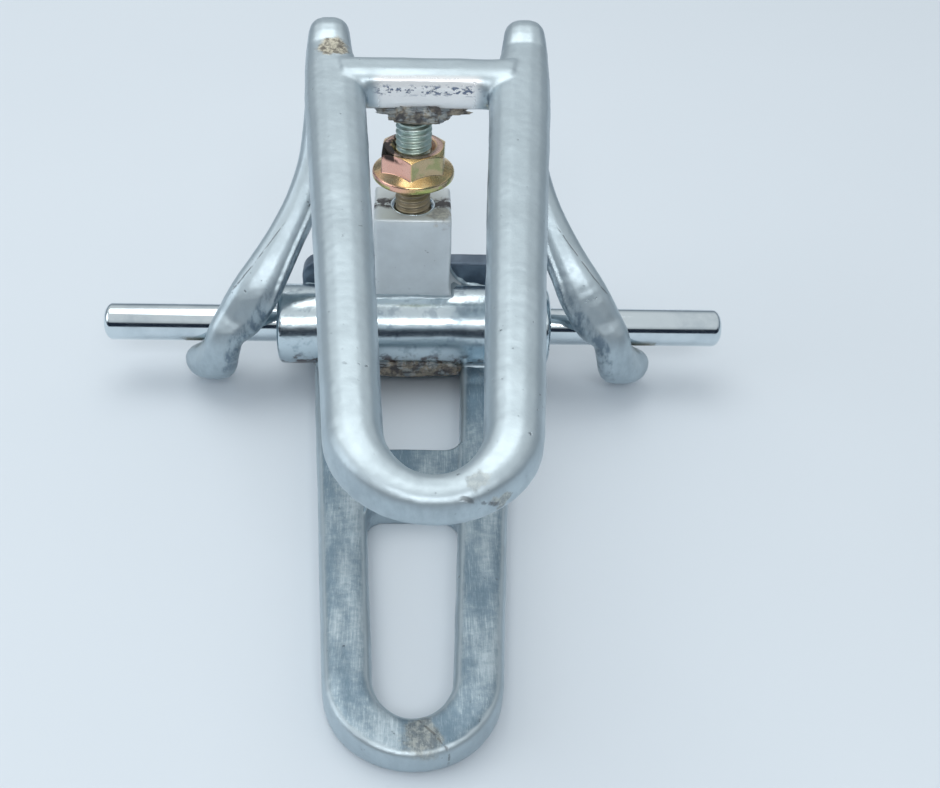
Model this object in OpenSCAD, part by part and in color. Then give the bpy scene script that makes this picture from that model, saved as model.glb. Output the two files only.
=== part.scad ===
/* [Hinge] */
// Diameter of the hinge rod
rod_d = 6; // [5.5:0.1:6.5]
// Length of the hinge rod
rod_length = 100; // [90:1:110]
// Height of the rod's axis above the table
hinge_height = 10.5; // [10:0.1:12]
// Distance of the rod's axis behind the middle of the whole part
hinge_back = 28; // [26:0.1:30]
// Radial running clearance of the hooks on the rod
hinge_clearance = 0.05; // [0.02:0.01:0.1]
// Outer diameter of the barrel that holds the rod
barrel_d = 13; // [12:0.1:14]
// Length of the barrel
barrel_length = 43.6; // [43:0.1:45]

/* [Lower frame] */
// Thickness of the lower ring's bar
lower_bar_h = 5.5; // [5:0.1:6]
// How far the lower ring reaches in front of the rod's axis
lower_reach = 75.8; // [74:0.1:78]
// Radius of the lower ring's round end, along the middle of its bar
lower_nose_r = 8.1; // [7.5:0.1:8.5]
// Where the lower crossbar's front edge is, in front of the rod's axis
lower_cross_front = 35; // [33:0.5:37]
// Front to back width of the lower crossbar
lower_cross_w = 10.4; // [9:0.1:11]
// Width of the back plate
plate_w = 36.8; // [35:0.1:37]
// Thickness of the back plate
plate_t = 3; // [2.5:0.1:3]
// Height of the back plate's top edge above the rod's axis
plate_top = 8; // [7:0.1:8.4]

/* [Stop post] */
// Width of the stop post
post_w = 12; // [11.6:0.1:13]
// Height of the post's top above the rod's axis
post_top = 20.5; // [19:0.1:21]
// How far the post's front face is in front of the rod's axis
post_front = 1.5; // [1:0.1:2]
// How far the post and its screw stand to the left of the middle
post_left = 0.4; // [0:0.1:0.6]
// How far the stop screw's axis is behind the rod's axis
screw_back = 3.5; // [3.3:0.1:3.7]

/* [Stop screw and lock nut] */
// Nominal diameter of the stop screw
screw_d = 5.4; // [5.2:0.1:5.8]
// Length of the stop screw
screw_length = 22.7; // [22:0.1:22.8]
// Height of the stop screw's tip above the rod's axis
screw_tip = 35.1; // [34.8:0.1:35.3]
// Height of the lock nut's flange above the post
nut_gap = 4.95; // [4.5:0.05:5.2]
// Height of the lock nut
nut_h = 5; // [4.6:0.1:5.4]
// Lock nut's size across its flats
nut_flats = 9.2; // [8.8:0.1:9.6]
// Diameter of the lock nut's flange
nut_flange_d = 12.4; // [12:0.1:13]

/* [Upper frame] */
// Fall of the upper ring towards its front, as height over length
upper_fall = 0.07; // [0:0.01:0.08]
// How far the upper ring stands to the right of the middle
upper_shift = 1.4; // [0:0.1:1.6]
// How far the two hooks stand to the right along the rod
hook_shift = 0.8; // [0:0.1:0.9]
// Height of the upper crossbar's underside above the rod's axis
upper_base = 37; // [36.8:0.1:37.4]
// Thickness of the upper ring's bar
upper_bar_h = 6; // [5.5:0.1:6.5]
// How far the upper ring reaches in front of the rod's axis
upper_reach = 76.6; // [75:0.1:78]
// Radius of the upper ring's round end, along the middle of its bar
upper_nose_r = 7.9; // [7.6:0.1:8.2]
// Front to back width of the upper crossbar
upper_cross_w = 7; // [6.5:0.1:7.2]
// Distance of each hook's finger from the middle of the part
hook_x = 30.8; // [30.6:0.1:31.4]

/* [Hidden] */
$fn = 64;

// Heights below are from the rod's axis, and y is from it too, with -y to the front
floor_z = -hinge_height;
rod_r = rod_d / 2;
barrel_r = barrel_d / 2;
hook_bore_r = rod_r + hinge_clearance;
barrel_gap = 0.4;
barrel_end_gap = 0.6;
section_sides = 16;
upper_squareness = 2.6;
nose_steps = 18;

// Post and plate
plate_front = barrel_r - 0.5;
plate_back = plate_front + plate_t;
plate_corner_r = 3;
post_back = plate_back;
post_flare = 4.8;
post_root = 3;
post_waist = post_root + post_flare + 0.8;
hole_r = screw_d / 2 + 0.05;
hole_bottom = 8.2;
hole_rim = 0.6;
cut = 1;

// Screw and nut
screw_chamfer = 0.6;
tip_sphere_r = 6;
nut_flange_t = 1.1;
nut_flange_top_d = nut_flats + 1.2;
nut_turn = 26;
nut_cone_h = 0.9;
nut_z = post_top + nut_gap;

// Boss: it clears the screw's tip by boss_gap all through the swing
boss_gap = 0.4;
boss_w = 8.4;
boss_swing_r = norm([screw_back, screw_tip]) + boss_gap;
boss_drop = 1.6;
lip_w = 5.4;
lip_t = 1.7;
lip_drop = 3.4;
lip_gap = 0.06;
lip_front = screw_back + screw_d / 2 + lip_gap;
lip_rise = 1.6;
joint_gap = 0.06;
cross_front = -1;
cross_middle = cross_front + upper_cross_w / 2;

// A bar's stations are [x, y, width, height], from the right rear end towards the front
lower_tail = [
    [12.1, plate_front, 8.2, 6.6],
    [11.9, -4, 8.2, 6.4],
    [11.7, -9, 8.1, lower_bar_h],
    [9.9, -38, 6.9, lower_bar_h]
];
upper_tail = [
    [14.4, 11, 7, upper_bar_h],
    [13.5, 4, 8.1, upper_bar_h],
    [12.9, -2, 8.5, upper_bar_h],
    [10.5, -32, 7.3, upper_bar_h]
];
upper_tail_back = upper_tail[0][1];
lower_nose_w = 5.6;
lower_nose_h = 4.4;
upper_nose_w = 4.4;
upper_nose_h = 4.4;
nose_taper = 4.2;

// An arm's stations are [x, y, z, width, height], from the ring back over the ear and down to the toe
arm_steps = 3;
arm_mid_z = upper_base + upper_bar_h / 2 + upper_fall * (upper_tail_back - cross_middle);
arm_line = [
    [14.4, 11, arm_mid_z, 7, upper_bar_h],
    [14.6, 14.4, arm_mid_z + 1.1, 6.3, 6],
    [14.8, 17.3, arm_mid_z + 0.3, 6, 6],
    [15.1, 18.7, arm_mid_z - 2.6, 6.1, 6],
    [15.4, 18.3, arm_mid_z - 6, 6.2, 6],
    [15.6, 16.4, 31.2, 6.2, 6],
    [16, 13.4, 27, 6, 6],
    [16.9, 10, 22.8, 5.7, 6],
    [18.7, 6.4, 18.8, 5.5, 5.9],
    [21, 2.9, 15, 5.7, 5.8],
    [23.4, -0.2, 11.4, 6.6, 5.8],
    [25.7, -2.6, 8, 7.6, 5.8],
    [28.3, -4.1, 4.1, 7.4, 5.9],
    [hook_x - 0.4, -5.2, 2, 6, 5.9],
    [hook_x + 0.5, -5.5, -0.6, 5.9, 6],
    [hook_x + 1.8, -4.6, -3.9, 6.8, 6.4],
    [hook_x + 3.1, -2.6, -5.6, 7.6, 6],
    [hook_x + 4.7, -0.2, -6.3, 6.8, 4.8],
    [hook_x + 5.6, 1, -6.1, 4.6, 3.4]
];

function unit(v) = v / norm(v);

function mirrored(line) = [for (i = [len(line) - 1 : -1 : 0]) [-line[i][0], line[i][1], line[i][2], line[i][3]]];

// Stations round a ring's nose, where the bar grows slimmer towards the middle of the front
function nose(r, reach, side, front) = [
    for (i = [0 : nose_steps])
        let (a = -nose_taper - i * (180 - 2 * nose_taper) / nose_steps)
        let (size = side + (front - side) * pow(sin(-a), 2))
        [r * cos(a), r + front[0] / 2 - reach + r * sin(a), size[0], size[1]]
];

// A whole ring's bar, standing on the height base and falling to the front
function ring_line(tail, r, reach, side, front, base, fall) = [
    for (s = concat(tail, nose(r, reach, side, front), mirrored(tail)))
        [s[0], s[1], base + s[3] / 2 + fall * (s[1] - cross_middle), s[2], s[3]]
];

// Stations on a smooth curve through the given ones
function curve(p, q, r, s, t) =
    (2 * q + (r - p) * t + (2 * p - 5 * q + 4 * r - s) * t * t + (3 * q - p - 3 * r + s) * t * t * t) / 2;

function smooth(line, steps) =
    let (last = len(line) - 1)
    [
        for (i = [0 : last - 1])
            for (k = [0 : steps - 1])
                curve(line[max(i - 1, 0)], line[i], line[i + 1], line[min(i + 2, last)], k / steps),
        line[last]
    ];

// An arm's stations on one side, which lean from the hook's place to the ring's
function arm_side(side) = [
    for (s = smooth(arm_line, arm_steps))
        let (lean = min(max(s[2] / arm_mid_z, 0), 1))
        [side * s[0] + hook_shift + (upper_shift - hook_shift) * lean, s[1], s[2], s[3], s[4]]
];

function point_at(line, i) = [line[i][0], line[i][1], line[i][2]];

function direction(line, i) =
    unit(point_at(line, min(i + 1, len(line) - 1)) - point_at(line, max(i - 1, 0)));

// Half the clear width between a ring's bars at y, from the bars' stations behind the nose
function inner_half(tail, y) = lookup(y, [for (s = tail) [s[1], s[0] - s[2] / 2]]);

// The way across a bar: level for a ring, and as near to x as it can be for an arm
function across(t, level) = level ? unit(cross(t, [0, 0, 1])) : unit([1, 0, 0] - t[0] * t);

function power(v, squareness) = sign(v) * pow(abs(v), 2 / squareness);

// A rounded bar section of the full width w and height h, which squareness makes flatter
function section(w, h, squareness) =
    let (reach = power(cos(180 / section_sides), squareness))
    [
        for (i = [0 : section_sides - 1])
            let (a = (i + 0.5) * 360 / section_sides)
            [w / 2 * power(cos(a), squareness), h / 2 * power(sin(a), squareness)] / reach
    ];

// A bar swept along its stations, with flat ends
module swept_bar(line, squareness, level) {
    n = section_sides;
    last = len(line) - 1;
    points = [
        for (i = [0 : last])
            let (t = i == 0 || (i == last && level) ? [0, i == 0 && level ? -1 : 1, 0] : direction(line, i))
            let (u = across(t, level))
            let (v = cross(u, t))
            for (p = section(line[i][3], line[i][4], squareness))
                point_at(line, i) + p[0] * u + p[1] * v
    ];
    sides = [
        for (i = [0 : last - 1])
            for (k = [0 : n - 1])
                let (a = i * n + k, b = i * n + (k + 1) % n)
                each [[a, b, a + n], [b, b + n, a + n]]
    ];
    ends = [[for (k = [n - 1 : -1 : 0]) k], [for (k = [0 : n - 1]) last * n + k]];
    polyhedron(points = points, faces = concat(sides, ends), convexity = 6);
}

// Puts a sub-part drawn about the rod's axis in its place in the part
module at_hinge() {
    translate([0, hinge_back, hinge_height]) children();
}

module at_upper_frame() {
    translate([upper_shift, hinge_back, hinge_height]) children();
}

module at_screw(z) {
    translate([-post_left, hinge_back + screw_back, hinge_height + z]) children();
}

module along_x(r, l) {
    rotate([0, 90, 0]) cylinder(h = l, r = r, center = true);
}

module rounded_plate(w, h, r) {
    translate([r, 0]) square([w - 2 * r, h]);
    square([w, h - r]);
    for (x = [r, w - r]) translate([x, h - r]) circle(r);
}

module lower_bar() {
    side = [6.2, lower_bar_h];
    line = ring_line(lower_tail, lower_nose_r, lower_reach, side, [lower_nose_w, lower_nose_h], floor_z, 0);
    swept_bar(line, 4.5, true);
}

module upper_bar() {
    side = [6, upper_bar_h];
    front = [upper_nose_w, upper_nose_h];
    line = ring_line(upper_tail, upper_nose_r, upper_reach, side, front, upper_base, upper_fall);
    swept_bar(line, upper_squareness, true);
}

module lower_ring() {
    color("silver") at_hinge() difference() {
        lower_bar();
        along_x(barrel_r, barrel_length);
    }
}

// The crossbar fits between the bars' inner sides, and flares where the windows' corners are round
module lower_crossbar() {
    flare = 2.5;
    front = -lower_cross_front - flare;
    back = lower_cross_w - lower_cross_front + flare;
    color("silver") at_hinge() translate([0, 0, floor_z]) linear_extrude(lower_bar_h) difference() {
        polygon([
            [-inner_half(lower_tail, front), front],
            [inner_half(lower_tail, front), front],
            [inner_half(lower_tail, back), back],
            [-inner_half(lower_tail, back), back]
        ]);
        for (y = [front, back]) {
            straight = inner_half(lower_tail, y) - flare;
            translate([0, y]) square([2 * straight, 2 * flare], center = true);
            for (x = [-straight, straight]) translate([x, y]) circle(flare);
        }
    }
}

module hinge_barrel() {
    rim = 0.5;
    color("silver") at_hinge() rotate([0, 90, 0]) rotate_extrude() polygon([
        [rod_r, -barrel_length / 2],
        [barrel_r - rim, -barrel_length / 2],
        [barrel_r, rim - barrel_length / 2],
        [barrel_r, barrel_length / 2 - rim],
        [barrel_r - rim, barrel_length / 2],
        [rod_r, barrel_length / 2]
    ]);
}

module back_plate() {
    color("slategray") at_hinge() difference() {
        translate([-plate_w / 2, plate_back, floor_z]) rotate([90, 0, 0]) linear_extrude(plate_t)
            rounded_plate(plate_w, plate_top + hinge_height, plate_corner_r);
        along_x(barrel_r, barrel_length + cut);
    }
}

module stop_post() {
    color("silver") at_hinge() translate([-post_left, 0, 0]) difference() {
        translate([0, post_back, 0]) rotate([90, 0, 0]) linear_extrude(post_front + post_back) difference() {
            translate([-post_w / 2 - post_flare, post_root])
                square([post_w + 2 * post_flare, post_top - post_root]);
            for (x = [-1, 1]) {
                translate([x * (post_w / 2 + post_flare), post_waist]) circle(post_flare);
                translate([x * (post_w / 2 + post_flare), (post_top + cut + post_waist) / 2])
                    square([2 * post_flare, post_top + cut - post_waist], center = true);
            }
        }
        along_x(barrel_r, barrel_length);
        translate([-plate_w / 2, plate_front, floor_z]) cube([plate_w, plate_t + cut, hinge_height + plate_top]);
        translate([0, screw_back, hole_bottom]) cylinder(h = post_top + cut - hole_bottom, r = hole_r);
        translate([0, screw_back, post_top - hole_rim]) cylinder(h = hole_rim, r1 = hole_r, r2 = hole_r + hole_rim);
    }
}

module hinge_rod() {
    end = 0.8;
    half = rod_length / 2;
    color("lightsteelblue") at_hinge() rotate([0, 90, 0]) rotate_extrude() polygon([
        [0, -half],
        [rod_r - end, -half],
        [rod_r, end - half],
        [rod_r, half - end],
        [rod_r - end, half],
        [0, half]
    ]);
}

module upper_ring() {
    color("silver") at_upper_frame() upper_bar();
}

module crossbar_section(length) {
    middle = [0, cross_middle, upper_base + upper_bar_h / 2];
    translate(middle) rotate([90, 0, 90]) rotate(atan(upper_fall)) linear_extrude(length, center = true)
        polygon(section(upper_cross_w, upper_bar_h, 3.4));
}

module upper_crossbar() {
    ys = [cross_front - cut, upper_tail[1][1], cross_front + upper_cross_w + cut];
    color("silver") at_upper_frame() intersection() {
        crossbar_section(4 * upper_tail[0][0]);
        translate([0, 0, upper_base - cut]) linear_extrude(upper_bar_h + 2 * cut) polygon([
            for (y = ys) [inner_half(upper_tail, y) - joint_gap, y],
            for (i = [len(ys) - 1 : -1 : 0]) [joint_gap - inner_half(upper_tail, ys[i]), ys[i]]
        ]);
    }
}

// A lump under the crossbar, with a lip behind the screw's tip that stops the closing swing
module stop_boss() {
    back = cross_front + upper_cross_w - 0.6;
    color("silver") at_hinge() difference() {
        union() {
            translate([-boss_w / 2, 0.4, upper_base - boss_drop]) cube([boss_w, back - 0.4, boss_drop + cut]);
            translate([-lip_w / 2, 0.4, upper_base - boss_drop])
                cube([lip_w, lip_front + lip_t - 0.4, boss_drop + lip_rise]);
            translate([-lip_w / 2, lip_front, upper_base - lip_drop]) cube([lip_w, lip_t, lip_drop + lip_rise]);
        }
        crossbar_section(2 * boss_w);
        intersection() {
            along_x(boss_swing_r, 4 * boss_w, $fn = 360);
            translate([-2 * boss_w, -barrel_d, 0]) cube([4 * boss_w, barrel_d + lip_front, 2 * upper_base]);
        }
    }
}

module arm(side) {
    color("silver") at_hinge() difference() {
        swept_bar(arm_side(side), upper_squareness, false);
        along_x(hook_bore_r, rod_length + cut);
        along_x(barrel_r + barrel_gap, barrel_length + 2 * barrel_end_gap);
    }
}

module left_arm() {
    arm(-1);
}

module right_arm() {
    arm(1);
}

module stop_screw() {
    color("khaki") at_screw(screw_tip - screw_length) intersection() {
        union() {
            translate([0, 0, screw_chamfer]) cylinder(h = screw_length - screw_chamfer, r = screw_d / 2);
            cylinder(h = screw_chamfer, r1 = screw_d / 2 - screw_chamfer, r2 = screw_d / 2);
        }
        union() {
            cylinder(h = screw_length / 2, r = screw_d);
            translate([0, 0, screw_length - tip_sphere_r]) sphere(tip_sphere_r);
            translate([0, 0, cut]) cylinder(h = screw_length - tip_sphere_r - cut, r = tip_sphere_r);
        }
    }
}

module lock_nut() {
    color("goldenrod") at_screw(nut_z) difference() {
        union() {
            cylinder(h = nut_flange_t, d = nut_flange_d);
            translate([0, 0, nut_flange_t])
                cylinder(h = nut_cone_h, d1 = nut_flange_d, d2 = nut_flange_top_d);
            rotate([0, 0, nut_turn]) cylinder(h = nut_h, d = nut_flats / cos(30), $fn = 6);
        }
        translate([0, 0, -cut]) cylinder(h = nut_h + 2 * cut, r = hole_r);
    }
}

lower_ring();
lower_crossbar();
hinge_barrel();
back_plate();
stop_post();
hinge_rod();
upper_ring();
upper_crossbar();
stop_boss();
left_arm();
right_arm();
stop_screw();
lock_nut();
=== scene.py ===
import math

import bmesh
import bpy
import numpy as np
from mathutils import Matrix, Vector, noise


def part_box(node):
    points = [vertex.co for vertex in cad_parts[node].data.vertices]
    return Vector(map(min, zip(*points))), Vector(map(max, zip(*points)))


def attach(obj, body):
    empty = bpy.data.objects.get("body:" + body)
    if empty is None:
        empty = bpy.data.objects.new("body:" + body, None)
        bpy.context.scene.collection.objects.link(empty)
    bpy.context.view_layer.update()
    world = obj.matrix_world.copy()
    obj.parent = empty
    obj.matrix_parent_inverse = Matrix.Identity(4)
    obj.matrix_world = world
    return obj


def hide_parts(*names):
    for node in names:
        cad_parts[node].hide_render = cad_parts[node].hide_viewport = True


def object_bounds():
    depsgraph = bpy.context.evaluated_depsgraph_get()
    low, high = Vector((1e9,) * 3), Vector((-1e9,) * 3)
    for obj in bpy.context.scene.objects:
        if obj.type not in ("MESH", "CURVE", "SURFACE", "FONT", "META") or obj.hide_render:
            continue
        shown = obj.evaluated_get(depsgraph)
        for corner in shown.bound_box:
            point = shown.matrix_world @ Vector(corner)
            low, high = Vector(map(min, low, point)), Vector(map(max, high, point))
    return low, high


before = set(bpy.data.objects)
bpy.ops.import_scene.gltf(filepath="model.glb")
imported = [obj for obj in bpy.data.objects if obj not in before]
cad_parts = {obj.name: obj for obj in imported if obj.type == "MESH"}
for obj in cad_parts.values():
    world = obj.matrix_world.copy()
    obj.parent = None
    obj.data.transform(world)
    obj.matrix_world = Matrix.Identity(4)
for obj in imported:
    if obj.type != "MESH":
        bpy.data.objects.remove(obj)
cad_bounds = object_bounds()

# ---- Table, studio light and camera ----
# A pale blue-white table under one wide soft box, with a dark card on the front side that gives
# the bright metal its dark bands.

MM = 0.001
rod_low, rod_high = (Vector(corner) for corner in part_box("hinge_rod"))
hinge = (rod_low + rod_high) / 2


class Number:
    """A shader value: an expression on it adds the Math nodes that work it out."""

    def __init__(self, graph, socket):
        self.graph, self.socket = graph, socket

    def _with(self, operation, first, second):
        return self.graph.number("ShaderNodeMath", {"operation": operation}, {0: first, 1: second})

    def __add__(self, other):
        return self._with("ADD", self, other)

    def __sub__(self, other):
        return self._with("SUBTRACT", self, other)

    def __rsub__(self, other):
        return self._with("SUBTRACT", other, self)

    def __mul__(self, other):
        return self._with("MULTIPLY", self, other)

    def __truediv__(self, other):
        return self._with("DIVIDE", self, other)

    def __abs__(self):
        return self._with("ABSOLUTE", self, 0)

    __radd__, __rmul__ = __add__, __mul__

    def least(self, other):
        return self._with("MINIMUM", self, other)

    def step(self, low, high):
        """0 below low and 1 above high, with a smooth rise between them."""
        return self.graph.number(
            "ShaderNodeMapRange", {"interpolation_type": "SMOOTHSTEP"}, {0: self, 1: low, 2: high}
        )


class Graph:
    """A node tree that is filled by plain calls."""

    def __init__(self, tree):
        self.tree = tree
        tree.nodes.clear()

    def node(self, kind, settings=(), sockets=()):
        made = self.tree.nodes.new(kind)
        for name, value in dict(settings).items():
            setattr(made, name, value)
        for name, value in dict(sockets).items():
            if isinstance(value, Number):
                value = value.socket
            if isinstance(value, bpy.types.NodeSocket):
                self.tree.links.new(value, made.inputs[name])
            elif isinstance(value, tuple) and len(value) == 3 and made.inputs[name].type == "RGBA":
                made.inputs[name].default_value = (*value, 1)
            else:
                made.inputs[name].default_value = value
        return made

    def number(self, kind, settings=(), sockets=(), output=0):
        return Number(self, self.node(kind, settings, sockets).outputs[output])

    def blend(self, factor, first, second):
        """Mixes two colours."""
        settings = {"data_type": "RGBA"}
        return self.node("ShaderNodeMix", settings, {0: factor, 6: first, 7: second}).outputs[2]

    def place(self, per_mm=(1, 1, 1)):
        """The point on the piece in millimetres, times a factor along each axis."""
        at = self.node("ShaderNodeTexCoord").outputs["Object"]
        scale = tuple(1000 * factor for factor in per_mm)
        return self.node("ShaderNodeVectorMath", {"operation": "MULTIPLY"}, {0: at, 1: scale}).outputs[0]

    def along(self, axis):
        """One coordinate of the point on the piece, in millimetres."""
        return self.number("ShaderNodeSeparateXYZ", {}, {0: self.place()}, "XYZ".index(axis))

    def facing(self, direction):
        """How far the surface faces a direction, from -1 to 1."""
        normal = self.node("ShaderNodeTexCoord").outputs["Normal"]
        settings = {"operation": "DOT_PRODUCT"}
        return self.number("ShaderNodeVectorMath", settings, {0: normal, 1: direction}, "Value")

    def noise(self, size_mm, detail=4, roughness=0.55, stretch=(1, 1, 1), seed=0.0):
        """Soft noise from about 0.3 to 0.7, with lumps of the size given."""
        place = self.place(tuple(factor / size_mm for factor in stretch))
        sockets = {"Vector": place, "W": seed, "Scale": 1.0, "Detail": detail, "Roughness": roughness}
        return self.number("ShaderNodeTexNoise", {"noise_dimensions": "4D"}, sockets)

    def bump(self, height, depth_mm, normal=None):
        """The normal over a relief whose height runs from 0 to 1."""
        sockets = {"Height": height, "Distance": depth_mm * MM, "Strength": 1.0}
        if normal is not None:
            sockets["Normal"] = normal
        return self.node("ShaderNodeBump", {}, sockets).outputs[0]


def material(name):
    """A new material and its empty graph."""
    made = bpy.data.materials.new(name)
    made.use_nodes = True
    return made, Graph(made.node_tree)


def surface(graph, sockets):
    """Ends a material's graph with a Principled surface."""
    shader = graph.node("ShaderNodeBsdfPrincipled", {}, sockets)
    graph.node("ShaderNodeOutputMaterial", {}, {"Surface": shader.outputs[0]})


table_size = 4.0
bpy.ops.mesh.primitive_plane_add(size=table_size, location=(0, 0, 0))
table = bpy.context.object
table.name = "table"
table_paint, graph = material("table_paint")
shade = graph.noise(60, detail=2)
surface(graph, {
    "Base Color": graph.blend(shade, (0.62, 0.685, 0.745), (0.64, 0.705, 0.765)),
    "Roughness": 0.62,
    "Specular IOR Level": 0.3,
})
table.data.materials.append(table_paint)


def soft_box(name, at, aim, width, depth, watts, color):
    light = bpy.data.lights.new(name, "AREA")
    light.shape = "RECTANGLE"
    light.size, light.size_y = width, depth
    light.energy, light.color = watts, color
    holder = bpy.data.objects.new(name, light)
    holder.location = at
    holder.rotation_euler = (Vector(aim) - Vector(at)).to_track_quat("-Z", "Y").to_euler()
    bpy.context.scene.collection.objects.link(holder)


soft_box("ceiling_box", (-0.15, 0.25, 0.75), hinge, 0.7, 0.55, 2.2, (1.0, 0.99, 0.96))
soft_box("left_box", (-0.7, -0.1, 0.35), hinge, 0.5, 0.4, 1.0, (0.92, 0.96, 1.0))
soft_box("front_strip", (0.02, -0.45, 0.47), hinge, 0.34, 0.13, 1.0, (1.0, 1.0, 1.0))

world = bpy.data.worlds.new("studio")
bpy.context.scene.world = world
world.use_nodes = True
graph = Graph(world.node_tree)
toward = graph.node("ShaderNodeTexCoord").outputs["Generated"]
dot = {"operation": "DOT_PRODUCT"}
height = graph.number("ShaderNodeVectorMath", dot, {0: toward, 1: (0, 0, 1)}, "Value")
front = graph.number("ShaderNodeVectorMath", dot, {0: toward, 1: (0, -1, 0)}, "Value")
card = front.step(0.25, 0.6) * height.step(-0.02, 0.05) * (1 - height.step(0.36, 0.46))
room = graph.blend(height.step(0.0, 0.72), (0.22, 0.28, 0.34), (1.0, 1.03, 1.05))
room = graph.blend(card, room, (0.02, 0.03, 0.05))
ground = graph.node("ShaderNodeBackground", {}, {"Color": room, "Strength": 0.72})
graph.node("ShaderNodeOutputWorld", {}, {"Surface": ground.outputs[0]})

# The camera stands low in front of the hinge and looks down on it.
camera_from_hinge = Vector((-1.66, -148.6, 107.8)) * MM
pitch, yaw, roll = math.radians(39.5), math.radians(-0.74), math.radians(-1.12)
lens = bpy.data.cameras.new("camera")
lens.sensor_width, lens.lens = 36, 42.894
lens.shift_x = 0.06
lens.clip_start, lens.clip_end = 0.01, 10
camera = bpy.data.objects.new("camera", lens)
camera.location = hinge + camera_from_hinge
turn = Matrix.Rotation(yaw, 3, "Z") @ Matrix.Rotation(-pitch, 3, "X") @ Matrix.Rotation(roll, 3, "Y")
camera.rotation_euler = (turn @ Matrix.Rotation(math.radians(90), 3, "X")).to_euler()
bpy.context.scene.collection.objects.link(camera)
bpy.context.scene.camera = camera
bpy.context.scene.view_settings.view_transform = "Standard"

# ---- Lower frame: ring, crossbar and stop post ----
# One bent bar with a bridge across it and a block for the screw: rough castings, filed flat on
# top, then nickel plated all together, so pits and file marks show through the plating.


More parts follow.
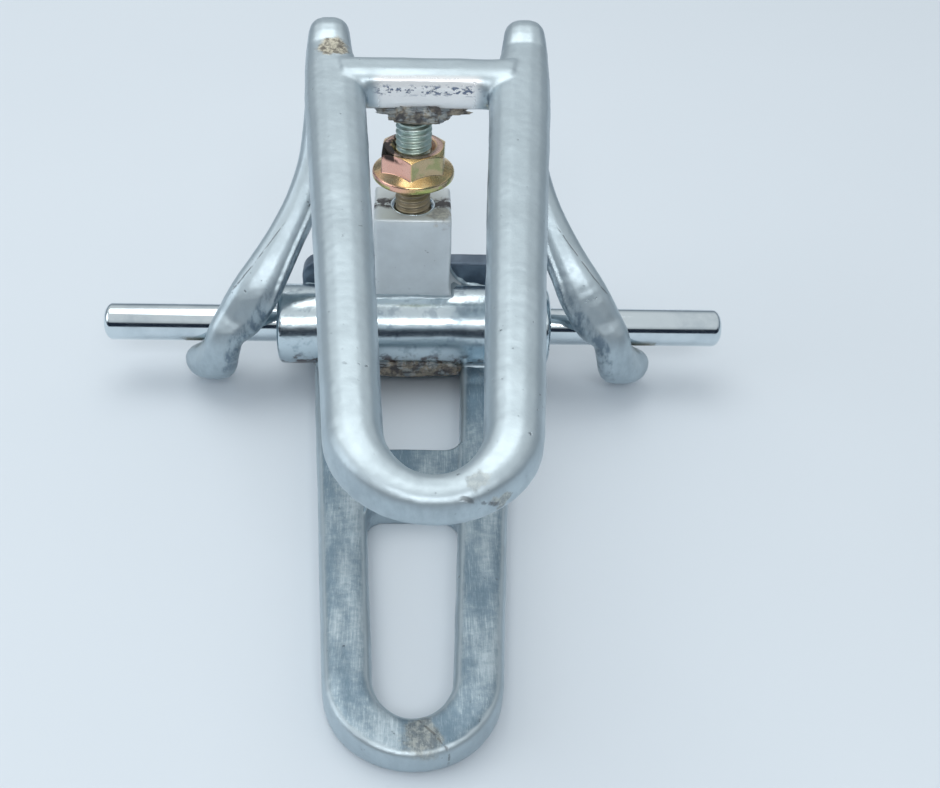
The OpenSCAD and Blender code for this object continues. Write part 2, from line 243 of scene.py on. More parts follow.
def plated_casting(name, light=(0.50, 0.59, 0.64), metal=0.88, side_shade_depth=0.35, filed_top_and_reflection=0.0, stains=(),
                   seams_and_shadows=(), highlight_and_speckles=()):
    """Satin plating over a casting, pitted. side_shade_depth is the depth of the painted shade on its
    sides:
    dark streaks on its side faces, strongest on the faces that look inward. filed_top_and_reflection is
    the share of file marks on its top, and of the dark patches there that are painted reflection. Each
    of stains is (place, radius, strength), and each of seams_and_shadows is (place, normal, reach, half
    width, strength): a dark line, real for the seams and parting lines, painted shadow where it is wide
    under the nut. highlight_and_speckles is (x, z, half length) of a painted highlight band on the
    front, with dark pits along it. Lengths are in millimetres."""
    made, graph = material(name)
    mottle = graph.noise(7, detail=5, roughness=0.6).step(0.36, 0.66)
    grain = graph.noise(0.5, detail=4, roughness=0.7, seed=3.0)
    pits = graph.noise(0.9, detail=3, roughness=0.5, seed=7.0).step(0.66, 0.73)
    pits = pits * graph.noise(9, detail=2, seed=12.0).step(0.45, 0.6)
    color = graph.blend(mottle * 0.4, light, tuple(0.74 * value for value in light))
    # Painted shade: dark streaks on the side faces, strongest on the faces that look inward.
    side_shade_streaks = graph.noise(1.3, detail=5, roughness=0.65, stretch=(1, 0.16, 0.5), seed=14.0)
    side = 1 - abs(graph.facing((0, 0, 1))).step(0.15, 0.6)
    between_middles = 0.7
    inward = graph.facing((-1, 0, 0)) * (graph.along("X") - between_middles) / 7
    side_shade_streaks = side_shade_streaks.step(0.38, 0.62) * (inward.step(0.1, 0.6) * 0.8 + 0.2)
    color = graph.blend(side * side_shade_streaks * side_shade_depth, color, (0.07, 0.12, 0.18))
    metallic = metal
    roughness = 0.33 + mottle * 0.06 + grain * 0.16
    relief = grain * 0.3 + mottle * 0.3
    if filed_top_and_reflection:
        top = graph.facing((0, 0, 1)).step(0.86, 0.98) * filed_top_and_reflection
        marks = graph.noise(0.24, detail=4, roughness=0.75, stretch=(1, 0.06, 1), seed=5.0)
        cross_marks = graph.noise(0.4, detail=3, roughness=0.7, stretch=(0.3, 0.5, 1), seed=9.0)
        patch = graph.noise(6.0, detail=4, roughness=0.55, stretch=(1, 0.3, 1), seed=23.0)
        # Painted reflection: dark patches on the up-facing faces, broken by the file marks, stand in for
        # the dark frame above mirrored in them.
        dark_reflection_patches = (patch + (marks - 0.5) * 0.5 + (cross_marks - 0.5) * 0.25).step(0.26, 0.58)
        color = graph.blend(top * dark_reflection_patches * 0.85, color, (0.10, 0.17, 0.23))
        color = graph.blend(top * marks.step(0.52, 0.68) * 0.3, color, (0.70, 0.78, 0.82))
        relief = relief + top * (marks * 0.5 + cross_marks * 0.3)
    color = graph.blend(pits * 0.7, color, (0.10, 0.12, 0.14))
    relief = relief - pits * 1.0
    for place, radius, strength in stains:
        between = {0: graph.place(), 1: place}
        away = graph.number("ShaderNodeVectorMath", {"operation": "DISTANCE"}, between, "Value")
        away = away + graph.noise(1.6, detail=5, seed=13.0) * 4 - 2
        mask = 1 - away.step(radius * 0.6, radius)
        brown = graph.noise(0.8, detail=5, roughness=0.7, seed=17.0).step(0.40, 0.58)
        tint = graph.blend(brown, (0.62, 0.58, 0.46), (0.15, 0.12, 0.08))
        color = graph.blend(mask * strength, color, tint)
        roughness = roughness + mask * 0.15
        relief = relief + mask * brown * strength
    # Dark lines: the seams and parting lines are real marks; the wide ones under the nut are painted
    # shadow.
    for place, normal, reach, half_width, strength in seams_and_shadows:
        between = {0: graph.place(), 1: place}
        offset = graph.node("ShaderNodeVectorMath", {"operation": "SUBTRACT"}, between).outputs[0]
        length = graph.number("ShaderNodeVectorMath", {"operation": "LENGTH"}, {0: offset}, "Value")
        dot = {"operation": "DOT_PRODUCT"}
        across = graph.number("ShaderNodeVectorMath", dot, {0: offset, 1: normal}, "Value")
        wander = graph.noise(1.5, detail=5, roughness=0.65, seed=27.0) * (2 * half_width) - half_width
        line = 1 - abs(across + wander).step(half_width * 0.3, half_width)
        line = line * (1 - length.step(reach * 0.7, reach))
        line = line * graph.noise(1.1, detail=3, seed=31.0).step(0.40, 0.50)
        color = graph.blend(line * strength, color, (0.06, 0.055, 0.06))
        relief = relief - line * strength
    if highlight_and_speckles:
        middle, level, half_length = highlight_and_speckles
        off_middle = abs(graph.along("X") - middle)
        # Painted highlight: the band's front-facing faces are painted near white, less metallic and
        # smoother, so they show bright.
        painted_highlight = graph.facing((0, -1, 0)).step(0.45, 0.80)
        painted_highlight = painted_highlight * (1 - off_middle.step(half_length - 2, half_length))
        fleck = graph.noise(0.55, detail=4, roughness=0.65, stretch=(0.6, 1, 1), seed=51.0)
        off_level = abs(graph.along("Z") - level)
        fleck = fleck.step(0.50, 0.56) * (1 - off_level.step(0.3, 1.1)) * painted_highlight
        color = graph.blend(painted_highlight, color, (0.97, 0.98, 0.99))
        color = graph.blend(fleck * 0.9, color, (0.06, 0.11, 0.22))
        metallic = metal - painted_highlight * 0.68
        roughness = roughness - painted_highlight * 0.2
        relief = relief - fleck
    surface(graph, {
        "Base Color": color,
        "Metallic": metallic,
        "Roughness": roughness,
        "Normal": graph.bump(relief, 0.05),
    })
    return made


def add_mesh(name, mesh, finish):
    """Puts a mesh in the scene as a smooth-shaded piece with one material."""
    piece = bpy.data.objects.new(name, mesh)
    bpy.context.scene.collection.objects.link(piece)
    mesh.materials.clear()
    mesh.materials.append(finish)
    mesh.polygons.foreach_set("use_smooth", [True] * len(mesh.polygons))
    mesh.update()
    return piece


def solid_of(*nodes):
    """The nodes' solids as one mesh in the part's frame."""
    joined = bmesh.new()
    for node in nodes:
        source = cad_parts[node]
        copy = source.data.copy()
        copy.transform(source.matrix_world)
        joined.from_mesh(copy)
        bpy.data.meshes.remove(copy)
    bmesh.ops.remove_doubles(joined, verts=joined.verts, dist=1e-6)
    mesh = bpy.data.meshes.new("solid")
    joined.to_mesh(mesh)
    joined.free()
    return mesh


def with_modifiers(mesh, *steps):
    """The mesh after a list of modifiers, each given as (type, settings)."""
    holder = bpy.data.objects.new("holder", mesh)
    bpy.context.scene.collection.objects.link(holder)
    for kind, settings in steps:
        modifier = holder.modifiers.new(kind, kind)
        for name, value in settings.items():
            setattr(modifier, name, value)
    ready = holder.evaluated_get(bpy.context.evaluated_depsgraph_get())
    result = bpy.data.meshes.new_from_object(ready)
    bpy.data.objects.remove(holder)
    return result


def points_and_normals(mesh):
    """The mesh's points and their normals, each as rows of x, y and z."""
    points = np.empty(len(mesh.vertices) * 3)
    normals = np.empty_like(points)
    mesh.vertices.foreach_get("co", points)
    mesh.vertex_normals.foreach_get("vector", normals)
    return points.reshape(-1, 3), normals.reshape(-1, 3)


def set_points(mesh, points):
    mesh.vertices.foreach_set("co", points.ravel())
    mesh.update()


def uneven(mesh, swells, lumps):
    """Moves the surface in and out by long swells and short lumps, in millimetres."""
    per_swell, per_lump, apart = 180, 900, Vector((7, 3, 5))
    points, normals = points_and_normals(mesh)
    move = np.array([
        swells * noise.noise(Vector(p) * per_swell) + lumps * noise.noise(Vector(p) * per_lump + apart)
        for p in points
    ])
    set_points(mesh, points + normals * (move * MM)[:, None])
    return mesh


def soft_skin(solid, voxel, rounds):
    """A solid with its edges rounded and its inner corners filled."""
    return with_modifiers(
        solid,
        ("REMESH", {"mode": "VOXEL", "voxel_size": voxel * MM, "adaptivity": 0.0}),
        ("SMOOTH", {"factor": 0.5, "iterations": rounds}),
    )


def rough_skin(solid, voxel, rounds, swells=0.08, lumps=0.02):
    """A solid as a real casting: soft edges and an uneven surface."""
    return uneven(soft_skin(solid, voxel, rounds), swells, lumps)


def place_casting(node, mesh, finish, body):
    """The piece that stands for a node on a body, in plated metal."""
    piece = add_mesh(node + "_casting", mesh, finish)
    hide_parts(node)
    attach(piece, body)
    return piece


def casting(node, finish, body, voxel=0.3, rounds=6, swells=0.08, lumps=0.02):
    """One node by itself as a real casting."""
    skin = rough_skin(solid_of(node), voxel, rounds, swells, lumps)
    return place_casting(node, skin, finish, body)


def split_casting(skin, cuts, node_at):
    """One closed mesh for each node of a joined skin. Each of cuts is (place, normal, near): a plane,
    and which faces it cuts. node_at gives the node that a point belongs to. Both take a point in
    millimetres from the middle of the rod."""
    whole = bmesh.new()
    whole.from_mesh(skin)

    def local(face):
        return (face.calc_center_median() - hinge) / MM

    for place, normal, near in cuts:
        cut_faces = [face for face in whole.faces if near(local(face))]
        around_cut = {part for face in cut_faces for part in (*face.verts, *face.edges)}
        plane_point = Vector(from_hinge(*place)) * MM
        bmesh.ops.bisect_plane(
            whole, geom=[*around_cut, *cut_faces], plane_co=plane_point, plane_no=Vector(normal)
        )
    owners = [node_at(local(face)) for face in whole.faces]
    meshes = {}
    for node in sorted(set(owners)):
        part = whole.copy()
        others = [face for face, owner in zip(part.faces, owners) if owner != node]
        bmesh.ops.delete(part, geom=others, context="FACES")
        rim = [edge for edge in part.edges if edge.is_boundary]
        bmesh.ops.holes_fill(part, edges=rim, sides=0)
        for edge in rim:
            edge.smooth = False
        bmesh.ops.triangulate(part, faces=[face for face in part.faces if len(face.verts) > 4])
        part.normal_update()
        meshes[node] = bpy.data.meshes.new(node)
        part.to_mesh(meshes[node])
        part.free()
    whole.free()
    return meshes


def from_hinge(x, y, z):
    """A point in millimetres from the middle of the rod, as a point in the part's frame."""
    return (x, y + hinge.y / MM, z + hinge.z / MM)


front_seam = (from_hinge(2.6, -73.1, -6.1), (0.75, 0.66, 0.0), 4.4, 0.2, 0.5)
lower_finish = plated_casting(
    "lower_plating", filed_top_and_reflection=1.0, stains=[(from_hinge(0.9, -73.2, -6.2), 2.9, 0.35)], seams_and_shadows=[front_seam]
)
# Painted shadow: two black patches on the post's top, left and right of the stud, under the nut's
# flange.
shadow_under_nut = [(from_hinge(x, 3.6, 20.5), (0, 1, 0), 2.8, 2.0, 0.95) for x in (-5.0, 4.6)]
# Painted light: the post's plating is a lighter and less metallic copy of the frame's plating, so the
# post shows brighter.
post_finish_painted_light = plated_casting(
    "post_plating", light=(0.76, 0.82, 0.85), metal=0.35, side_shade_depth=0.05,
    stains=[(from_hinge(3.8, 0.3, 20.3), 2.2, 0.5)], seams_and_shadows=shadow_under_nut,
)


lower_bridge_half = 6.9


def near_lower_bridge(point, reach=9):
    return abs(point.x) < reach and -40 < point.y < -20


def lower_node_at(point):
    bridge = near_lower_bridge(point, lower_bridge_half)
    return "lower_crossbar" if bridge else "lower_ring"


lower_cuts = [
    ((side * lower_bridge_half, 0, 0), (1, 0, 0), near_lower_bridge) for side in (-1, 1)
]
lower_skin = rough_skin(solid_of("lower_ring", "lower_crossbar"), voxel=0.3, rounds=8)
for node, mesh in split_casting(lower_skin, lower_cuts, lower_node_at).items():
    place_casting(node, mesh, lower_finish, "lower_frame")
casting("stop_post", post_finish_painted_light, "lower_frame", rounds=16)

# ---- Hinge barrel ----
# A short thick steel tube across the back of the lower ring, which the rod is pressed through. It
# is brazed to the ring and the post, and its bright plating is rippled by the heat.

barrel_finish, graph = material("barrel_plating")
peel = graph.noise(1.6, detail=3, roughness=0.55, seed=41.0)
grain = graph.noise(0.45, detail=4, roughness=0.7, seed=42.0)
dark_patches = graph.noise(2.4, detail=5, roughness=0.65, seed=43.0).step(0.50, 0.62)
low = graph.facing((0, -0.75, -0.66)).step(0.80, 0.98)
color = graph.blend(dark_patches * 0.5, (0.62, 0.72, 0.77), (0.28, 0.36, 0.43))
surface(graph, {
    "Base Color": graph.blend(low * dark_patches, color, (0.16, 0.13, 0.13)),
    "Metallic": 1.0,
    "Roughness": 0.12 + grain * 0.16,
    "Normal": graph.bump(peel * 0.7 + grain * 0.3, 0.04),
})
casting("hinge_barrel", barrel_finish, "lower_frame", voxel=0.28, rounds=5, swells=0.1, lumps=0.0)

# ---- Back plate ----
# A flat steel plate behind the barrel, cut with rounded corners. Its plating is painted dark slate:
# painted shade for the shadow and dark reflection it stands in. It is brazed to the barrel's back
# and stands on the table, so the frame can't tip back.

shaded_plate_finish, graph = material("plate_plating_painted_shade")
cloud = graph.noise(6, detail=5).step(0.35, 0.65)
grain = graph.noise(0.6, detail=4, roughness=0.7, seed=2.0)
surface(graph, {
    # Painted shade: dark slate colour for the plate's shadow and dark reflection.
    "Base Color": graph.blend(cloud, (0.12, 0.16, 0.21), (0.19, 0.24, 0.30)),
    "Metallic": 0.9,
    "Roughness": 0.34 + grain * 0.25,
    "Normal": graph.bump(grain, 0.03),
})
back_plate = casting("back_plate", shaded_plate_finish, "lower_frame", voxel=0.28, rounds=4, swells=0.05)

# ---- Braze ----
# The fillets that join the pieces: bronze run into each corner, then plated over, which leaves
# them lumpy and brown in places.


def braze_plating(name, burnt_share):
    """Lumpy plated bronze, brown and burnt over the share given and on its underside."""
    made, graph = material(name)
    mottle = graph.noise(3, detail=5, roughness=0.6).step(0.36, 0.66)
    grain = graph.noise(0.5, detail=5, roughness=0.7, seed=3.0)
    under = graph.facing((0, 0, -1)).step(-0.1, 0.7)
    patch = graph.noise(2.2, detail=5, roughness=0.65, seed=21.0).step(0.44, 0.6)
    brown = (patch * burnt_share + under * 0.5 + 0.75 * burnt_share ** 2).least(1)
    color = graph.blend(mottle * 0.5, (0.52, 0.62, 0.67), (0.36, 0.45, 0.51))
    fleck = graph.noise(1.2, detail=4, seed=29.0).step(0.4, 0.6)
    burnt = graph.blend(fleck, (0.30, 0.27, 0.22), (0.09, 0.085, 0.085))
    surface(graph, {
        "Base Color": graph.blend(brown, color, burnt),
        "Metallic": 0.9 - brown * 0.5,
        "Roughness": 0.28 + grain * 0.25 + brown * 0.2,
        "Normal": graph.bump(grain * 0.6 + mottle * 0.4, 0.08),
    })
    return made


burnt_braze = braze_plating("burnt_braze", 0.95)
clean_braze = braze_plating("clean_braze", 0.06)


def braze(name, nodes, low, high, body, finish, voxel=0.3, rounds=22, sink=0.13):
    """The fillets between nodes inside a box, given by two corners in millimetres: the joined solids,
    smoothed until their inner corners fill and sunk a little everywhere else."""
    skin = soft_skin(solid_of(*nodes), voxel, rounds)
    cut = bmesh.new()
    cut.from_mesh(skin)
    for axis in range(3):
        for corner, outward in ((low, -1), (high, 1)):
            plane_point = [0, 0, 0]
            plane_point[axis] = corner[axis] * MM
            way = [0, 0, 0]
            way[axis] = outward
            everything = [*cut.verts, *cut.edges, *cut.faces]
            made = bmesh.ops.bisect_plane(
                cut, geom=everything, plane_co=plane_point, plane_no=way, clear_outer=True
            )
            rim = [part for part in made["geom_cut"] if isinstance(part, bmesh.types.BMEdge)]
            bmesh.ops.holes_fill(cut, edges=rim, sides=0)
    bmesh.ops.triangulate(cut, faces=[face for face in cut.faces if len(face.verts) > 4])
    cut.normal_update()
    cut.to_mesh(skin)
    cut.free()
    uneven(skin, swells=0.0, lumps=0.12)
    points, normals = points_and_normals(skin)
    set_points(skin, points - normals * sink * MM)
    piece = add_mesh(name, skin, finish)
    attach(piece, body)
    return piece


def around(node, grow):
    """A node's box in millimetres, grown by an amount along each axis."""
    low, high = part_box(node)
    return (
        [low[axis] / MM - grow[axis] for axis in range(3)],
        [high[axis] / MM + grow[axis] for axis in range(3)],
    )


def filler(name, centre, size, body, finish, seed, clear_of=0.0):
    """A rough lump of filler with half sizes in millimetres, kept off the rod's axis by clear_of."""
    made = bmesh.new()
    bmesh.ops.create_icosphere(made, subdivisions=6, radius=1.0)
    for vert in made.verts:
        ball = vert.co.copy()
        boxy = Vector([math.copysign(abs(v) ** 0.7, v) for v in ball])
        rough = 0.16 * noise.noise(ball * 2.2 + Vector((seed, 0, 0)))
        rough += 0.09 * noise.noise(ball * 6 + Vector((0, seed, 0)))
        rough += 0.04 * noise.noise(ball * 15 + Vector((0, 0, seed)))
        place = Vector(centre) + Vector([v * half for v, half in zip(boxy * (1 + rough), size)])
        from_axis = math.hypot(place.y, place.z)
        if from_axis < clear_of:
            place.y *= clear_of / from_axis
            place.z *= clear_of / from_axis
        vert.co = Vector(from_hinge(*place)) * MM
    mesh = bpy.data.meshes.new(name)
    made.to_mesh(mesh)
    made.free()
    piece = add_mesh(name, mesh, finish)
    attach(piece, body)
    return piece


lower_joint = ["lower_ring", "hinge_barrel", "back_plate", "stop_post"]
low, high = around("hinge_barrel", (-1.2, 8, 6))
high[2] = hinge.z / MM + 8.1  # just below the post's hole
braze("barrel_braze", lower_joint, low, high, "lower_frame", clean_braze)
filler("barrel_filler", (0.2, -3.9, -5.0), (7.7, 2.0, 1.9), "lower_frame", burnt_braze, 4.0)

# ---- Hinge rod ----
# A ground steel rod, bright plated, with a small bevel turned on each end. It is pressed through
# the barrel, and the upper frame's hooks turn on it and leave dirt beside them.

rod_r = (rod_high.z - rod_low.z) / 2
mirror_plating, graph = material("mirror_plating")
streak = graph.noise(0.35, detail=4, roughness=0.7, stretch=(1, 0.12, 0.12), seed=4.0)
smear = graph.noise(5, detail=4, seed=6.0).step(0.4, 0.7)
hooks_middle, dirt_reach = 0.8, 36.5
from_dirt = abs(abs(graph.along("X") - hooks_middle) - dirt_reach)
dirt = 1 - (from_dirt + graph.noise(1.0, detail=5, seed=44.0) * 4 - 2).step(1.0, 2.4)
dirt = dirt * (1 - graph.along("Z").step(hinge.z / MM - 1.6, hinge.z / MM - 0.4))
color = graph.blend(smear, (0.68, 0.76, 0.80), (0.56, 0.64, 0.69))
surface(graph, {
    "Base Color": graph.blend(dirt * 0.85, color, (0.16, 0.14, 0.08)),
    "Metallic": 1.0,
    "Roughness": 0.07 + streak * 0.07 + smear * 0.06 + dirt * 0.3,
    "Normal": graph.bump(streak, 0.004),
})


def turned(name, outline, finish, sides=96):
    """A piece turned about the x axis through the hinge, from (x, radius) points in metres."""
    made = bmesh.new()
    rings = []
    for x, radius in outline:
        if radius < 1e-7:
            rings.append([made.verts.new((x, hinge.y, hinge.z))])
            continue
        angles = (2 * math.pi * i / sides for i in range(sides))
        rings.append([
            made.verts.new((x, hinge.y + radius * math.cos(a), hinge.z + radius * math.sin(a)))
            for a in angles
        ])
    for first, second in zip(rings, rings[1:]):
        for i in range(sides):
            j = (i + 1) % sides
            corners = [first[i % len(first)], first[j % len(first)],
                       second[j % len(second)], second[i % len(second)]]
            made.faces.new(list(dict.fromkeys(corners)))
    bmesh.ops.recalc_face_normals(made, faces=made.faces)
    mesh = bpy.data.meshes.new(name)
    made.to_mesh(mesh)
    made.free()
    return add_mesh(name, mesh, finish)


half, bevel = rod_high.x, 0.8 * MM
end = [
    (half, 0), (half, rod_r - bevel * 1.3), (half - 0.08 * MM, rod_r - bevel),
    (half - bevel * 0.5, rod_r - bevel * 0.42), (half - bevel, rod_r - 0.06 * MM),
    (half - bevel * 1.4, rod_r),
]
outline = [(-x, r) for x, r in end] + [(x, r) for x, r in reversed(end)]
rod = turned("bright_rod", outline, mirror_plating)
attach(rod, "lower_frame")
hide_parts("hinge_rod")

# ---- Upper frame: ring, crossbar, boss and hooked arms ----
# The ring's bar runs back past its crossbar to the two ears. Each arm is brazed on there and comes
# down to a hook that wraps round the rod. The lump under the crossbar meets the screw's tip.

ring_mid = 1.4
ear_patch = (from_hinge(-12.3, 8.4, 43.3), 3.0, 0.85)
nose_seam = (from_hinge(5.6, -75.5, 34.8), (0.2, 0.6, 0.77), 2.4, 0.3, 0.5)
nose_stains = [(from_hinge(5.5, -74.3, 36.4), 1.2, 0.2), (from_hinge(7.6, -74.4, 34.2), 1.1, 0.4)]
left_parting = (from_hinge(-24.3, -1.6, 13.5), (0.727, 0, -0.686), 7.5, 0.1, 0.6)
right_parting = (from_hinge(26.1, -1.6, 13.5), (-0.727, 0, -0.686), 7.5, 0.1, 0.6)
upper_marks = {
    "stains": [ear_patch, *nose_stains], "seams_and_shadows": [nose_seam, left_parting, right_parting],
}
upper_finish = plated_casting("upper_plating", side_shade_depth=0.7, **upper_marks)
# The crossbar's front carries a painted highlight band, with dark pits along it.
crossbar_highlight_band = (ring_mid, hinge.z / MM + 40.9, 8.2)
crossbar_finish = plated_casting("crossbar_plating", highlight_and_speckles=crossbar_highlight_band, **upper_marks)


def bevel_arm(mesh, inward):
    """Raises the sharp ridge and the groove that the mould left along an arm's inner edge."""
    points, normals = points_and_normals(mesh)
    up = points[:, 2] / MM - hinge.z / MM
    reach = np.clip((up - 5) / 2, 0, 1) * np.clip((24 - up) / 4, 0, 1)
    turn = normals @ np.array([inward * 0.80, 0.45, -0.40])
    ridge = np.exp(-((turn - 0.12) / 0.13) ** 2)
    groove = np.exp(-((turn - 0.50) / 0.14) ** 2)
    facing_in = np.clip(normals[:, 0] * inward * 4, 0, 1)
    move = 0.45 * (ridge - groove) * reach * facing_in
    set_points(mesh, points + normals * (move * MM)[:, None])


def melt(mesh, place, radius, rounds):
    """Fills the corners around a place, as braze does. Sizes are in millimetres."""
    count = len(mesh.vertices)
    ends = np.empty(len(mesh.edges) * 2, dtype=int)
    mesh.edges.foreach_get("vertices", ends)
    first, second = ends.reshape(-1, 2).T
    neighbours = np.bincount(ends, minlength=count)
    points, _ = points_and_normals(mesh)
    away = np.linalg.norm(points - np.array(place) * MM, axis=1) / (radius * MM)
    share = 0.5 * np.clip(2 - 2 * away, 0, 1)[:, None]
    for _ in range(rounds):
        sums = [
            np.bincount(first, values[second], count) + np.bincount(second, values[first], count)
            for values in points.T
        ]
        points += (np.stack(sums, axis=1) / neighbours[:, None] - points) * share
    set_points(mesh, points)


upper_bridge_half = 8.3
arm_start = 11


def near_upper_bridge(point, reach=9.5):
    return abs(point.x - ring_mid) < reach and -4 < point.y < 9


def near_arm_start(point):
    return point.z > 30 and arm_start - 2 < point.y < arm_start + 2


def upper_node_at(point):
    if point.y > arm_start or (point.z < 30 and point.y > -12):
        return "left_arm" if point.x < ring_mid else "right_arm"
    bridge = near_upper_bridge(point, upper_bridge_half)
    return "upper_crossbar" if bridge else "upper_ring"


upper_cuts = [((0, arm_start, 0), (0, 1, 0), near_arm_start)]
upper_cuts += [
    ((ring_mid + side * upper_bridge_half, 0, 0), (1, 0, 0), near_upper_bridge) for side in (-1, 1)
]
# The crossbar runs on over the shoulders of the ring's bars, so it is lengthened and raised a
# little before the skin is made.
to_middle = Matrix.Translation((-ring_mid * MM, 0, 0))
lifted = Matrix.Translation((ring_mid * MM, 0.3 * MM, 0.35 * MM))
long_crossbar = solid_of("upper_crossbar")
long_crossbar.transform(lifted @ Matrix.Diagonal((1.33, 1, 1, 1)) @ to_middle)
joined = bmesh.new()
joined.from_mesh(solid_of("upper_ring", "left_arm", "right_arm"))
joined.from_mesh(long_crossbar)
upper_solid = bpy.data.meshes.new("upper_solid")
joined.to_mesh(upper_solid)
joined.free()
upper_skin = rough_skin(upper_solid, voxel=0.25, rounds=11)
melt(upper_skin, from_hinge(ring_mid - 8, 2, 40), radius=4, rounds=20)
melt(upper_skin, from_hinge(ring_mid + 8, 2, 40), radius=5, rounds=70)
for node, mesh in split_casting(upper_skin, upper_cuts, upper_node_at).items():
    finish = crossbar_finish if node == "upper_crossbar" else upper_finish
    piece = place_casting(node, mesh, finish, "upper_frame")
    if node.endswith("arm"):
        bevel_arm(piece.data, 1 if node == "left_arm" else -1)
casting("stop_boss", burnt_braze, "upper_frame", rounds=4)
screw_swing = 35.6
filler("boss_filler", (0.4, 0.9, 37.0), (4.4, 1.9, 1.6), "upper_frame", burnt_braze, 9.0, screw_swing)
filler("crossbar_filler", (0.7, 0.0, 37.5), (6.6, 0.6, 0.5), "upper_frame", burnt_braze, 2.0)

# ---- Stop screw ----
# A threaded steel stud, clear zinc plated, and brown where it runs below the nut. It is screwed into the
# post's hole, and the boss under the upper crossbar comes down on its domed tip.

clear_zinc, graph = material("clear_zinc")
tint = graph.noise(2.0, detail=3, seed=8.0).step(0.4, 0.6)
grain = graph.noise(0.3, detail=4, roughness=0.7, seed=5.0)
# Brown and less metallic below the nut.
low_down = 1 - (graph.along("Z") - hinge.z / MM).step(24.5, 25.8)
color = graph.blend(tint, (0.66, 0.76, 0.73), (0.52, 0.62, 0.56))
surface(graph, {
    "Base Color": graph.blend(low_down * 0.85, color, (0.29, 0.21, 0.12)),
    "Metallic": 1 - low_down * 0.5,
    "Roughness": 0.30 + grain * 0.2,
    "Normal": graph.bump(grain, 0.01),
})

pitch_mm, thread_depth = 0.9, 0.45
screw_low, screw_high = (Vector(corner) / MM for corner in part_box("stop_screw"))
screw_x, screw_y = (screw_low.x + screw_high.x) / 2, (screw_low.y + screw_high.y) / 2
screw_r = (screw_high.x - screw_low.x) / 2


def threaded_radius(angle, z):
    """The radius of a right-hand thread at an angle in turns and a height in millimetres."""
    place = (z / pitch_mm - angle) % 1
    ridge = 1 - abs(2 * place - 1)
    return screw_r - thread_depth * (1 - min(1, max(0, 1.3 * ridge - 0.12)))


def round_solid(name, radius_at, heights, x, y, sides, finish, bore_at=None):
    """A solid about an upright axis, with its radius given for each angle in turns and height, and a
    bore if bore_at is given. Sizes are in millimetres."""
    made = bmesh.new()

    def loop(z, radius):
        return [
            made.verts.new((
                (x + radius(i / sides, z) * math.cos(2 * math.pi * i / sides)) * MM,
                (y + radius(i / sides, z) * math.sin(2 * math.pi * i / sides)) * MM,
                z * MM,
            ))
            for i in range(sides)
        ]

    loops = [loop(z, radius_at) for z in heights]
    if bore_at:
        loops += [loop(z, bore_at) for z in reversed(heights)]
        loops.append(loops[0])
    for first, second in zip(loops, loops[1:]):
        for i in range(sides):
            j = (i + 1) % sides
            made.faces.new([first[i], first[j], second[j], second[i]])
    if not bore_at:
        for rim in (loops[0], loops[-1]):
            middle = made.verts.new(sum((v.co for v in rim), Vector()) / sides)
            for i in range(sides):
                made.faces.new([rim[i], rim[(i + 1) % sides], middle])
    bmesh.ops.recalc_face_normals(made, faces=made.faces)
    mesh = bpy.data.meshes.new(name)
    made.to_mesh(mesh)
    made.free()
    return add_mesh(name, mesh, finish)


def stud_radius(angle, z):
    dome = 6.0
    below = screw_high.z - z
    tip = math.sqrt(max(0.01, dome ** 2 - max(0.0, dome - below) ** 2))
    foot = screw_r - 0.6 + (z - screw_low.z)
    return min(threaded_radius(angle, z), tip, foot)


steps = int((screw_high.z - screw_low.z) * 12)
heights = np.linspace(screw_low.z, screw_high.z, steps)
stud = round_solid("threaded_stud", stud_radius, list(heights), screw_x, screw_y, 72, clear_zinc)
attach(stud, "screw")
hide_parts("stop_screw")

# ---- Lock nut ----
# A hexagon nut with a flange, cold formed and yellow zinc plated, whose film shifts from gold to
# green. The pink on its left faces and the pinkish grey on its top are painted reflection, and the
# darker tone on its right faces is painted shade. It is screwed on the stud and locks it once it is set.

nut_low, nut_high = (Vector(corner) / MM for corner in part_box("lock_nut"))
nut_h = nut_high.z - nut_low.z
flange_r = (nut_high.x - nut_low.x) / 2
flats, hex_turn = 9.2, 26 / 360
flange_t, cone_h = 1.1, 0.9

yellow_zinc, graph = material("yellow_zinc")
film = graph.noise(1.9, detail=3, roughness=0.5, seed=15.0)
# Painted reflection on the left faces and the top, painted shade on the right faces.
left_face_reflection = graph.facing((-0.85, -0.5, 0.1)).step(0.35, 0.95)
right_face_shade = graph.facing((0.85, -0.5, 0.1)).step(0.45, 0.90)
top_face_reflection = graph.facing((0, 0, 1)).step(0.90, 0.99)
color = graph.blend(film.step(0.42, 0.56), (0.83, 0.55, 0.24), (0.86, 0.62, 0.30))
color = graph.blend(left_face_reflection * 0.8, color, (0.84, 0.45, 0.42))
color = graph.blend(right_face_shade * 0.8, color, (0.42, 0.36, 0.26))
color = graph.blend(right_face_shade * film.step(0.46, 0.60) * 0.6, color, (0.24, 0.32, 0.12))
color = graph.blend(top_face_reflection * 0.85, color, (0.60, 0.42, 0.40))
rim = 1 - graph.along("Z").step(nut_low.z + 0.4, nut_low.z + 0.9)
color = graph.blend(rim * film.step(0.44, 0.52) * 0.8, color, (0.46, 0.52, 0.16))
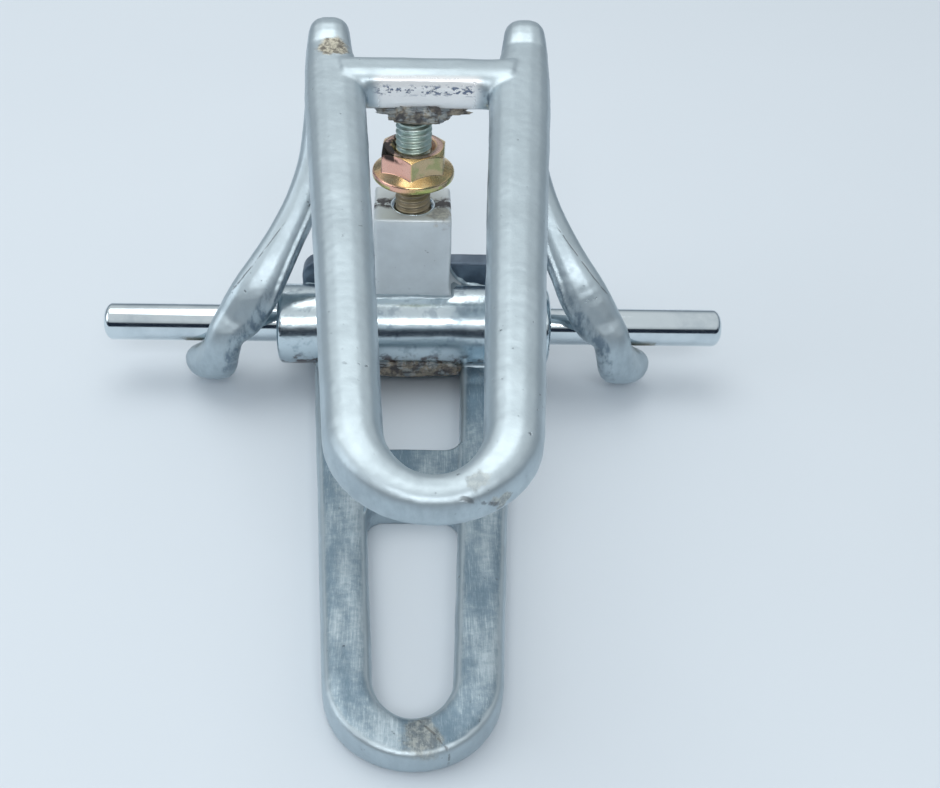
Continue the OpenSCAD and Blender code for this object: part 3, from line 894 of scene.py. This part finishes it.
# Black patches high on the nut's left side.
dark_patches = graph.noise(2.2, detail=4, seed=61.0).step(0.46, 0.54) * (1 - graph.along("X").step(-3.4, -1.2))
dark_patches = dark_patches * graph.along("Z").step(nut_high.z - 1.4, nut_high.z - 0.8)
color = graph.blend(dark_patches * 0.95, color, (0.02, 0.02, 0.02))
grain = graph.noise(0.4, detail=4, roughness=0.7, seed=25.0)
surface(graph, {
    "Base Color": color,
    "Metallic": 1.0,
    "Roughness": 0.17 + grain * 0.18,
    "Normal": graph.bump(grain, 0.012),
})


def nut_radius(angle, z):
    up = z - nut_low.z
    sector = ((angle - hex_turn) % (1 / 6)) - 1 / 12
    hexagon = flats / 2 / math.cos(2 * math.pi * sector)
    top_cone = flats / 2 - 0.25 + 1.7 * (nut_h - up)
    rim_drop = max(0.0, 0.35 - up) + max(0.0, up - flange_t + 0.35)
    rim = flange_r - rim_drop ** 2 * 1.2
    if up > flange_t:
        rim = flange_r - 0.15 - (up - flange_t) * (flange_r - 0.15 - flats / 2) / cone_h
    return max(min(hexagon, top_cone), rim)


def bore_radius(angle, z):
    up = z - nut_low.z
    mouth = max(0.0, 0.6 - up, 0.6 - (nut_h - up))
    return screw_r + 0.05 + mouth


nut = round_solid("flange_nut", nut_radius, list(np.linspace(nut_low.z, nut_high.z, 67)),
                  screw_x, screw_y, 216, yellow_zinc, bore_radius)
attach(nut, "nut")
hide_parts("lock_nut")

# ---- Edge of the post's hole ----
# The hole for the stud is drilled after the post is plated, and its edge is turned to a bright
# ring with a small bevel. The ring is part of the post.

edge_low, edge_high = hinge.z / MM + 20.12, hinge.z / MM + 20.48
edge_heights = list(np.linspace(edge_low, edge_high, 7))


def edge_outside(angle, z):
    return 3.45


def edge_inside(angle, z):
    return 2.82 + (z - edge_low) * 1.2


hole_edge = round_solid(
    "hole_edge", edge_outside, edge_heights, screw_x, screw_y, 120, mirror_plating, edge_inside
)
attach(hole_edge, "lower_frame")

# ---- Sizes ----
low, high = cad_bounds
